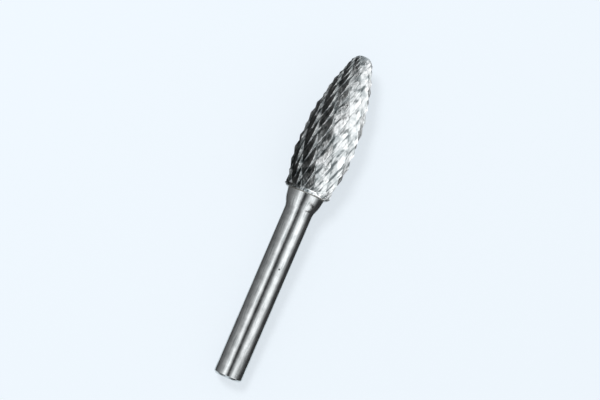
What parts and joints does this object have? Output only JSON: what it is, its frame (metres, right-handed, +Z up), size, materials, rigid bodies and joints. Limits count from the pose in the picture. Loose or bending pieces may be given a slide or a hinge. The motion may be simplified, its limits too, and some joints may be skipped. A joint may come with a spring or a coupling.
{
  "type": "carbide burr",
  "caption": "Rotary burr with a flame-shaped, double-cut carbide head brazed to a plain round steel shank.",
  "frame": {"origin": "on the bench under the middle of the lying tool", "axes": "+X along the tool from the shank's free end towards the nose, +Z up from the bench"},
  "size_m": [0.07, 0.0118, 0.0119],
  "materials": {
    "carbide": "ground tungsten carbide, bright tooth edges over dark flutes",
    "solder": "dull silver solder",
    "steel": "turned and ground steel, bright"
  },
  "bodies": {
    "root": {"cutting_head": "carbide", "braze_joint": "solder", "shank": "steel"}
  },
  "joints": []
}
